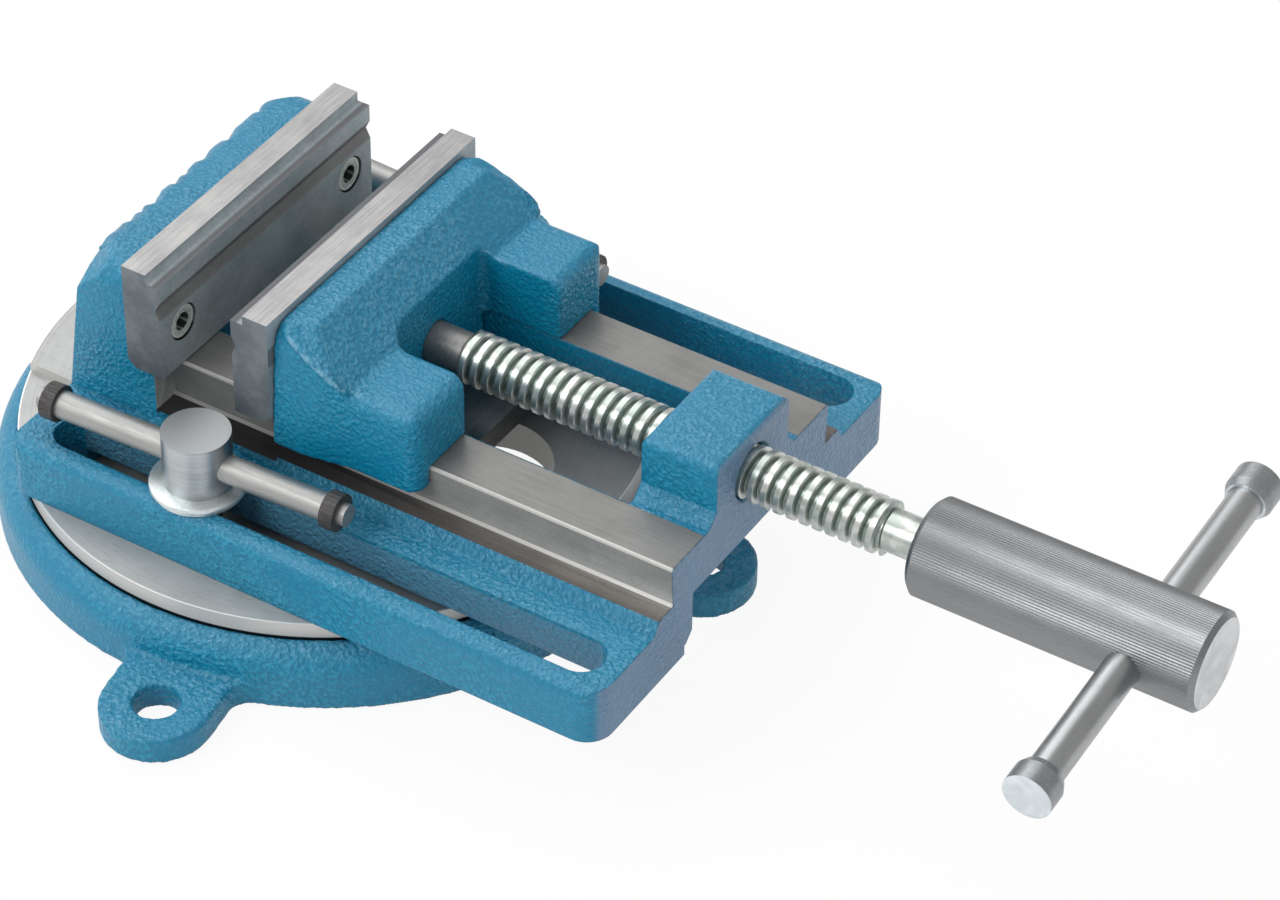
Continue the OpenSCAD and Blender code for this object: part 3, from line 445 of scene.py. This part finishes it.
def shapeCheeks(mesh):
    # a raised bead runs down each cheek to the arm, and above it the cheek leans in
    (startX, startZ), (elbowX, elbowZ) = cheek["start"], cheek["elbow"]
    length = math.hypot(elbowX - startX, elbowZ - startZ)
    runX, runZ = (elbowX - startX) / length, (elbowZ - startZ) / length
    half = (jawHigh.y - jawLow.y) / 2 / mm
    normals = [v.normal.copy() for v in mesh.vertices]
    for vertex, normal in zip(mesh.vertices, normals):
        x, z = (vertex.co.x - plateHigh.x) / mm, (vertex.co.z - wayTop) / mm
        side = 1 if vertex.co.y > 0 else -1
        inset = half - abs(vertex.co.y) / mm
        if inset > cheek["reach"] or z < elbowZ - 4:
            continue
        down = (x - startX) * runX + (z - startZ) * runZ
        above = min((z - startZ) * runX - (x - startX) * runZ, z - elbowZ)
        share = smoothShare(1 - inset / cheek["reach"])
        lean = min(cheek["most"], cheek["lean"] * max(0.0, above - cheek["width"] / 2)) * share
        vertex.co.y -= side * lean * mm
        ends = min(1.0, max(0.0, (down + 1.0) / 3.0), max(0.0, (length + 2.0 - down) / 4.0))
        if normal.y * side > 0.25 and ends > 0:
            bead = max(0.0, 1 - (above / cheek["width"]) ** 2) * cheek["bead"]
            groove = max(0.0, 1 - ((above - 2.1 * cheek["width"]) / cheek["width"]) ** 2) * cheek["groove"]
            vertex.co += normal * (bead - groove) * ends * mm


jawPaint = hammerPaint("jawPaint", glintLine=beadGlint)
basePaint = hammerPaint("basePaint")
bedPaint = hammerPaint("bedPaint", waysMask, waysLook, bedHigh.x / mm)

movable = {"voxel": 0.75, "rounds": 3, "bevel": 0.9}
mesh = softened("movable_jaw", "movableCasting", **movable)
shapeCheeks(mesh)
place("movableCasting", mesh, "movable_jaw", jawPaint, 60, ["movable_jaw"])
print("movable casting:", len(mesh.polygons), "faces")

baseCasting = {"voxel": 0.9, "rounds": 5, "bevel": 1.5}
mesh = softened("base", "baseCasting", **baseCasting)
place("baseCasting", mesh, "base", basePaint, 60, ["base"])
print("base casting:", len(mesh.polygons), "faces")

# the bed's worn edges, and the cut back corners of its fixed jaw, placed above the ways
bedEdges = {
    "paint": 0.9, "segments": 3, "corner": (-45.5, 42.0, 28.5), "cornerFacing": (-0.58, 0.5, 0.64),
    "cornerRound": 4.0, "cornerSegments": 4,
}


def isPainted(edge):
    # edges away from the ground ways and from the bed's hidden underside
    x, y, z = (c / mm for c in (edge.verts[0].co + edge.verts[1].co) / 2)
    onNut = x > ways["nut"] and abs(y) < ways["nutHalf"] + 0.3 and z > ways["nutFloor"]
    onWays = abs(y) < ways["ledge"] + 0.4 and z < wayTop / mm + 0.1 and not onNut
    return not onWays and z > bedLow.z / mm + 0.5 and x < bedHigh.x / mm + 1


def tearEdge(bm):
    # small notches along the fixed jaw's back top edge, as the rough casting has
    chance = random.Random(tornEdge["seed"])
    count = int(2 * tornEdge["reach"] / tornEdge["pitch"])
    stations = [-tornEdge["reach"] + (i + chance.uniform(-0.3, 0.3)) * tornEdge["pitch"] for i in range(count + 1)]
    depths = [chance.random() ** 2 for y in stations]
    cutFront, cutLow = tornEdge["cutFront"] * mm, wayTop + tornEdge["cutLow"] * mm
    for y in stations:
        centres = [(face, face.calc_center_median()) for face in bm.faces]
        near = [face for face, centre in centres if centre.x < cutFront and centre.z > cutLow]
        # kept in order, so that every run cuts alike
        edges = dict.fromkeys(edge for face in near for edge in face.edges)
        verts = dict.fromkeys(vert for face in near for vert in face.verts)
        bmesh.ops.bisect_plane(bm, geom=near + list(edges) + list(verts), plane_co=(0, y * mm, 0), plane_no=(0, 1, 0))
    front, low = tornEdge["front"], wayTop + tornEdge["low"] * mm
    for y, depth in zip(stations, depths):
        for vert in bm.verts:
            if abs(vert.co.y / mm - y) < 0.02 and vert.co.x < front * mm and vert.co.z > low:
                back = min(1.0, max(0.0, (front - vert.co.x / mm) / tornEdge["fade"]))
                vert.co.x += depth * tornEdge["depth"] * back * mm
                vert.co.z -= depth * tornEdge["drop"] * back * mm


def cutCorner(bm, side):
    # takes off the fixed jaw's back corner on one side and rounds what is left
    x, y, z = bedEdges["corner"]
    facing = Vector(bedEdges["cornerFacing"])
    facing.y *= side
    geometry = list(bm.verts) + list(bm.edges) + list(bm.faces)
    bmesh.ops.bisect_plane(bm, geom=geometry, plane_co=(x * mm, side * y * mm, wayTop + z * mm), plane_no=facing,
                           clear_outer=True)
    rims = [e for e in bm.edges if e.is_boundary]
    filled = bmesh.ops.holes_fill(bm, edges=rims, sides=0)["faces"]
    corner = [e for face in filled for e in face.edges if e.calc_face_angle(0) > math.radians(15)]
    bevelEdges(bm, corner, bedEdges["cornerRound"] * mm, bedEdges["cornerSegments"])


bm = mergedCopy("bed")
for side in (-1, 1):
    cutCorner(bm, side)
bevelEdges(bm, sharpEdges(bm, 42, isPainted), bedEdges["paint"] * mm, bedEdges["segments"])
tearEdge(bm)
newPiece("bedCasting", bm, "bed", bedPaint, 28, ["bed"])
print("bed casting ready")


discSteel = turnedSteel("discSteel", (0, 0, 0), discLook["colour"], rough=0.44, pitch=0.7, edge=0.1, relief=0.012,
                        mottle=0.05, metal=0.35, rim=(discHigh.x - discLow.x) / 2 / mm)
newPiece("turntableDisc", mergedCopy("turntable"), "turntable", discSteel, 28, ["turntable"])

# where the jaw plates' screws and groove are, above the ways and beside the middle; hole is a squared radius
jawPlate = {
    "screwY": 39.7, "screwZ": 14.0, "grooveZ": 23.6, "hole": 30.0,
    "tops": [(140, 139, 140), (170, 169, 168)], "faces": [(140, 152, 156), (180, 190, 194)],
    "ends": [(92, 100, 106), (114, 122, 127)], "groove": (104, 96, 92), "ledge": (96, 98, 102),
    "holeShade": (34, 36, 36),
}


def jawSteel():
    # tops ground bright along the jaw, every other side milled and darker; partly painted light, a painted highlight
    # on the tops and painted shade on the sides
    f = Finish("jawSteel")
    top = f.step(f.faceZ, 0.85, 0.97) * f.step(f.z, plateHigh.z / mm - 0.6, plateHigh.z / mm - 0.3)
    grind = f.noise(1.8, 4.0, 0.7, vector=f.stretched((1.0, 0.03, 1.0)))
    cloud = f.noise(0.06, 5.0, 0.65)
    blotch = f.noise(0.8, 4.0, 0.7)
    tops = f.mix(f.step(grind * 0.6 + cloud * 0.4, 0.35, 0.65), *jawPlate["tops"])
    sides = f.mix(f.step(cloud * 0.6 + blotch * 0.4, 0.3, 0.7), *jawPlate["faces"])
    rough = 0.5 + (blotch - 0.5) * 0.2 - top * 0.14
    # the faces are paler than the ends as painted light, the groove and the step behind it darker, the screw holes
    # dark as painted shade
    up = f.z - wayTop / mm
    ends = f.step(f.faceY ** 2.0, 0.6, 0.9)
    sides = f.mix(ends, sides, f.mix(f.step(cloud, 0.4, 0.6), *jawPlate["ends"]))
    groove = f.step((up - jawPlate["grooveZ"]) ** 2.0, 11.0, 7.0) * (1.0 - ends)
    across = (f.y ** 2.0) ** 0.5 - jawPlate["screwY"]
    fromScrew = across ** 2.0 + (up - jawPlate["screwZ"]) ** 2.0
    hole = f.step(fromScrew, jawPlate["hole"] + 1.2, jawPlate["hole"]) * (1.0 - ends)
    ledge = f.step(f.faceZ, 0.85, 0.97) * (1.0 - top)
    sides = f.mix(groove * 0.7, sides, jawPlate["groove"])
    sides = f.mix(ledge, sides, jawPlate["ledge"])
    sides = f.mix(hole, sides, jawPlate["holeShade"])
    relief = grind * top + blotch * (1.0 - top)
    return f.finish(f.mix(top, sides, tops), rough, 0.35 + top * 0.3, relief, 0.03, 0.7, 0.12)


plateSteel = jawSteel()
newPiece("fixedPlate", mergedCopy("fixed_jaw_plate"), "bed", plateSteel, 12, ["fixed_jaw_plate"])
newPiece("movablePlate", mergedCopy("movable_jaw_plate"), "movable_jaw", plateSteel, 12,
         ["movable_jaw_plate"])
keeperSteel = steel("keeperSteel", (128, 128, 124), 0.36, grain=(1.0, 0.05, 1.0))
newPiece("keeperPlate", mergedCopy("keeper_plate"), "movable_jaw", keeperSteel, 28, ["keeper_plate"])
print("disc and plates ready")


# the thread's outline is given as (along, radius); its cut ends are trimmed so that no cut meets a row of vertices
thread = {
    "outline": [(0.0, 5.9), (0.15, 5.8), (0.95, 5.8), (1.1, 5.95), (1.5, 7.6), (1.7, 7.85), (3.4, 7.85), (3.6, 7.6),
                (4.0, 5.9)],
    "pitch": 4.0, "turns": 33, "steps": 40, "start": 46.0, "end": 178.0, "trim": 0.037,
    "crests": [(172, 182, 176), (206, 208, 204)], "shadedRoots": (150, 161, 155),
}
shaft = {"radius": 6.0, "tip": 5.6, "core": 5.4, "chamfer": 0.4, "taper": 0.6, "overlap": 0.2}


def threadPiece():
    pitch, turns = thread["pitch"], thread["turns"] + 2
    bm = bmesh.new()
    x = thread["start"] - pitch
    verts = [bm.verts.new(((x + along) * mm, 0.0, radius * mm)) for along, radius in thread["outline"]]
    edges = [bm.edges.new(pair) for pair in zip(verts, verts[1:])]
    bmesh.ops.spin(bm, geom=verts + edges, cent=(0, 0, 0), axis=(-1, 0, 0),
                   dvec=(pitch * mm / thread["steps"], 0, 0), angle=math.tau * turns,
                   steps=turns * thread["steps"], use_merge=False, use_duplicate=False)
    bmesh.ops.remove_doubles(bm, verts=bm.verts, dist=0.01 * mm)
    for cut, normal in ((thread["start"] + thread["trim"], -1), (thread["end"] - thread["trim"], 1)):
        geometry = list(bm.verts) + list(bm.edges) + list(bm.faces)
        bmesh.ops.bisect_plane(bm, geom=geometry, plane_co=(cut * mm, 0, 0), plane_no=(normal, 0, 0),
                               clear_outer=True)
    bmesh.ops.holes_fill(bm, edges=[e for e in bm.edges if e.is_boundary], sides=0)
    bmesh.ops.translate(bm, verts=bm.verts, vec=(0, 0, spindleZ))
    return bm


def threadFinish():
    # bright crests over roots that are darker as painted shade and faintly green
    f = Finish("threadSteel", Metallic=0.85)
    radius = (f.y ** 2.0 + (f.z - spindleZ / mm) ** 2.0) ** 0.5
    marks = f.noise(1.4, 3.0, 0.6, vector=f.stretched((1.0, 0.25, 0.25)))
    tint = f.noise(0.22, 2.0)
    crest = f.mix(f.step(tint, 0.4, 0.6), *thread["crests"])
    colour = f.mix(f.step(radius, 6.0, 7.5), thread["shadedRoots"], crest)
    colour = f.mix(f.step(f.x, thread["end"] - 1.0, thread["end"]), colour, crest)
    return f.finish(colour, 0.26 + marks * 0.12, None, marks, 0.01, 0.6)


threadSteel = threadFinish()
noseSteel = steel("noseSteel", (142, 141, 139), 0.42, grain=(1.0, 0.3, 0.3), mottle=0.08, edge=0.2, relief=0.01,
                  metal=0.6)
newPiece("spindleThread", threadPiece(), "spindle", threadSteel, 26, ["spindle"])
radius, core = shaft["radius"] * mm, shaft["core"] * mm
noseEnd, inThread = spindleLow.x, (thread["start"] + shaft["overlap"]) * mm
nose = [(noseEnd, 0.0), (noseEnd, shaft["tip"] * mm), (noseEnd + shaft["chamfer"] * mm, radius),
        ((thread["start"] - shaft["taper"]) * mm, radius), (inThread, core), (inThread, 0.0)]
newPiece("spindleNose", revolved(nose, (0, 0, spindleZ)), "spindle", noseSteel, 32, ["spindle"])
inThread = (thread["end"] - shaft["overlap"]) * mm
neck = [(inThread, 0.0), (inThread, core), ((thread["end"] + shaft["taper"]) * mm, radius),
        (spindleHigh.x, radius), (spindleHigh.x, 0.0)]
newPiece("spindleNeck", revolved(neck, (0, 0, spindleZ)), "spindle", threadSteel, 32, ["spindle"])
print("spindle ready")


hub = {"ridges": 110, "depth": 0.16, "chamfer": 1.4, "fade": 0.3}


def ring(bm, count, radius, x, groove):
    # one ring of the hub's outline, with every second point pressed in
    turn = Matrix.Translation((x, 0, 0)) @ Matrix.Rotation(math.pi / 2, 4, "Y")
    verts = bmesh.ops.create_circle(bm, segments=count, radius=radius, matrix=turn)["verts"]
    if groove:
        share = (radius - groove) / radius
        bmesh.ops.scale(bm, verts=verts[1::2], vec=(1, share, share))
    return [e for e in bm.edges if e.verts[0] in verts and e.verts[1] in verts]


def knurledHub():
    # plain chamfered ends, with ridges that begin just behind them
    radius, length = (hubHigh.z - hubLow.z) / 2, hubHigh.x - hubLow.x
    c, fade, depth = hub["chamfer"] * mm, hub["fade"] * mm, hub["depth"] * mm
    rings = [(0.0, radius - c, 0.0), (c, radius, 0.0), (c + fade, radius, depth),
             (length - c - fade, radius, depth), (length - c, radius, 0.0), (length, radius - c, 0.0)]
    bm = bmesh.new()
    loops = [ring(bm, hub["ridges"] * 2, r, hubLow.x + x, groove) for x, r, groove in rings]
    for first, second in zip(loops, loops[1:]):
        bmesh.ops.bridge_loops(bm, edges=first + second)
    bmesh.ops.holes_fill(bm, edges=loops[0] + loops[-1], sides=0)
    bmesh.ops.translate(bm, verts=bm.verts, vec=(0, 0, spindleZ))
    return bm


hubSteel = steel("hubSteel", (146, 148, 150), 0.42, grain=(0.05, 1.0, 1.0), mottle=0.03, edge=0.0, relief=0.01,
                 ends=("X", (214, 216, 218)))
newPiece("handleHub", knurledHub(), "spindle", hubSteel, 20, ["handle_hub"])
barSteel = steel("barSteel", (172, 173, 174), 0.32, grain=(0.3, 0.04, 0.04), mottle=0.03, edge=0.3, relief=0.004)
newPiece("handleBar", mergedCopy("handle_bar"), "handle_bar", barSteel, 32, ["handle_bar"])
capSteel = steel("capSteel", (150, 154, 156), 0.34, grain=(0.4, 0.4, 0.4), mottle=0.05, edge=0.4, relief=0.01,
                 metal=0.8, ends=("Y", (226, 234, 238)))
newPiece("handleCaps", mergedCopy("handle_caps"), "handle_bar", capSteel, 32, ["handle_caps"])
print("handle ready")


screwLook = {"head": [(176, 188, 180), (222, 232, 224)], "rim": (240, 246, 242), "socket": (62, 72, 68)}


def screwFinish():
    # bright heads with a painted highlight round the rim and painted shade in the socket
    f = Finish("screwSteel", Metallic=0.4)
    across = (f.y ** 2.0) ** 0.5 - jawPlate["screwY"]
    radius = (across ** 2.0 + (f.z - wayTop / mm - jawPlate["screwZ"]) ** 2.0) ** 0.5
    blotch = f.noise(1.1, 3.0, 0.6)
    head = f.mix(f.step(blotch, 0.35, 0.65), *screwLook["head"])
    head = f.mix(f.step(radius, 4.1, 4.4), head, screwLook["rim"])
    colour = f.mix(f.step(radius, 2.9, 2.6), head, screwLook["socket"])
    return f.finish(colour, 0.3 + blotch * 0.1, None, blotch, 0.02, 0.6, 0.15)


screwSteel = screwFinish()
screws = [("fixedScrews", "fixed_jaw_screws", "bed"), ("movableScrews", "movable_jaw_screws", "movable_jaw"),
          ("keeperScrews", "keeper_screws", "movable_jaw")]
for name, node, body in screws:
    newPiece(name, mergedCopy(node), body, screwSteel, 32, [node])
pinSteel = steel("pinSteel", (80, 82, 86), 0.4)
newPiece("retainingPin", mergedCopy("spindle_pin"), "movable_jaw", pinSteel, 32, ["spindle_pin"])
ringBlack = steel("ringBlack", (66, 64, 63), 0.45, grain=(0.06, 1.3, 1.3), mottle=0.3, edge=0.2, relief=0.3, metal=0.2)
clampBarSteel = steel("clampBarSteel", (176, 176, 174), 0.56, grain=(0.05, 1.0, 1.0), mottle=0.03, edge=0.15,
                      relief=0.002)
washerSteel = steel("washerSteel", (214, 222, 222), 0.34, grain=(1.0, 1.0, 1.0), mottle=0.06, edge=0.0, relief=0.01,
                    metal=0.7)
# lift keeps the foot just clear of the flange
washer = {"bore": 6.5, "foot": 12.7, "step": 1.6, "round": 0.5, "lift": 0.03}


def steppedWasher(node):
    # a washer whose upper half stands out over a narrower foot
    low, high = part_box(node)
    outer, height, r = (high.x - low.x) / 2, high.z - low.z, washer["round"] * mm
    bore, foot, step = washer["bore"] * mm, washer["foot"] * mm, washer["step"] * mm
    lift = washer["lift"] * mm
    profile = [(lift, bore), (lift, foot), (step, foot), (step, outer - r / 2), (step + r / 2, outer),
               (height - r, outer), (height - r * 0.3, outer - r * 0.3), (height, outer - r), (height, bore),
               (lift, bore)]
    middle = (low + high) / 2
    return revolved(profile, (middle.x, middle.y, low.z), "Z", 96)


for side in ("near", "far"):
    centre = axisOf(side + "_washer")
    boltSteel = turnedSteel(side + "BoltSteel", centre, (186, 190, 192), rough=0.38, pitch=0.5, edge=0.12,
                            relief=0.008, mottle=0.05, topShade=0.84)
    newPiece(side + "ClampBolt", mergedCopy(side + "_clamp_bolt"), side + "_clamp", boltSteel, 32,
             [side + "_clamp_bolt"])
    newPiece(side + "Washer", steppedWasher(side + "_washer"), side + "_clamp", washerSteel, 32,
             [side + "_washer"])
    newPiece(side + "ClampBar", mergedCopy(side + "_clamp_bar"), side + "_bar", clampBarSteel, 32,
             [side + "_clamp_bar"])
    newPiece(side + "BarRings", mergedCopy(side + "_bar_rings"), side + "_bar", ringBlack, 32,
             [side + "_bar_rings"])
    newPiece(side + "SlotNut", mergedCopy(side + "_slot_nut"), "turntable", pinSteel, 32,
             [side + "_slot_nut"])
print("clamps and screws ready")


studio = {
    "floor": (236, 236, 236), "floorSize": 6.0, "floorSeen": 0.92, "floorGlossy": 0.5, "world": 0.69, "glossy": 0.52,
    "aim": (0.1, 0, 0.05), "keyAt": (-1.1, 0.5, 1.9), "keySize": (2.2, 2.2), "keyPower": 28,
    "fillAt": (-0.9, -1.7, 1.7), "fillSize": (1.6, 1.0), "fillPower": 25,
}


def floorFinish():
    # a pale floor that glows only for the camera and for reflections, so it still takes the shadow
    f = Finish("floorFinish", Roughness=0.9)
    f.shader.inputs["Base Color"].default_value = shade(studio["floor"])
    glow = f.tree.nodes.new("ShaderNodeEmission")
    glow.inputs["Color"].default_value = (1, 1, 1, 1)
    rays = f.tree.nodes.new("ShaderNodeLightPath")
    seen = f.add("ShaderNodeMath", {"operation": "MAXIMUM"}, {
        0: Signal(f, rays.outputs["Is Camera Ray"]) * studio["floorSeen"],
        1: Signal(f, rays.outputs["Is Glossy Ray"]) * studio["floorGlossy"]})
    blend = f.tree.nodes.new("ShaderNodeMixShader")
    f.join(seen, blend.inputs[0])
    f.tree.links.new(f.shader.outputs[0], blend.inputs[1])
    f.tree.links.new(glow.outputs[0], blend.inputs[2])
    f.tree.links.new(blend.outputs[0], f.tree.nodes["Material Output"].inputs["Surface"])
    return f.material


bm = bmesh.new()
bmesh.ops.create_grid(bm, x_segments=1, y_segments=1, size=studio["floorSize"])
bmesh.ops.translate(bm, verts=bm.verts, vec=(0, 0, -0.05 * mm))
floorMesh = bpy.data.meshes.new("floor")
bm.to_mesh(floorMesh)
bm.free()
floorMesh.materials.append(floorFinish())
floor = bpy.data.objects.new("floor", floorMesh)
bpy.context.collection.objects.link(floor)

world = bpy.data.worlds.new("studio")
bpy.context.scene.world = world
world.use_nodes = True
background = world.node_tree.nodes["Background"]
background.inputs["Color"].default_value = (1, 1, 1, 1)
rays = world.node_tree.nodes.new("ShaderNodeLightPath")
dimmer = world.node_tree.nodes.new("ShaderNodeMapRange")
world.node_tree.links.new(rays.outputs["Is Glossy Ray"], dimmer.inputs["Value"])
dimmer.inputs["To Min"].default_value = studio["world"]
dimmer.inputs["To Max"].default_value = studio["glossy"]
level = world.node_tree.nodes.new("ShaderNodeMath")
level.operation = "MAXIMUM"
world.node_tree.links.new(rays.outputs["Is Camera Ray"], level.inputs[0])
world.node_tree.links.new(dimmer.outputs[0], level.inputs[1])
world.node_tree.links.new(level.outputs[0], background.inputs["Strength"])


def softbox(name, location, size, power):
    lamp = bpy.data.lights.new(name, "AREA")
    lamp.shape = "RECTANGLE"
    lamp.size, lamp.size_y = size
    lamp.energy = power
    light = bpy.data.objects.new(name, lamp)
    light.location = location
    light.rotation_euler = (Vector(studio["aim"]) - Vector(location)).to_track_quat("-Z", "Y").to_euler()
    bpy.context.collection.objects.link(light)


softbox("keyLight", studio["keyAt"], studio["keySize"], studio["keyPower"])
softbox("fillLight", studio["fillAt"], studio["fillSize"], studio["fillPower"])

# the photograph's viewing angle; angles in degrees, places in millimetres
camera = {
    "azimuth": 31.5, "elevation": 40.4, "roll": 0.9, "target": (103.16, -3.90, 60.0), "distance": 1235.3,
    "lens": 129.25, "sensor": 36.0,
}
lens = bpy.data.cameras.new("camera")
lens.lens = camera["lens"]
lens.sensor_width = camera["sensor"]
lens.clip_start = 0.05
eye = bpy.data.objects.new("camera", lens)
bpy.context.collection.objects.link(eye)
azimuth, elevation = math.radians(camera["azimuth"]), math.radians(camera["elevation"])
flat = math.cos(elevation)
back = Vector((flat * math.sin(azimuth), -flat * math.cos(azimuth), math.sin(elevation)))
eye.location = (Vector(camera["target"]) + back * camera["distance"]) * mm
turn = (-back).to_track_quat("-Z", "Y").to_matrix() @ Matrix.Rotation(math.radians(camera["roll"]), 3, "Z")
eye.rotation_euler = turn.to_euler()
bpy.context.scene.camera = eye
bpy.context.scene.view_settings.view_transform = "Standard"
print("studio ready")
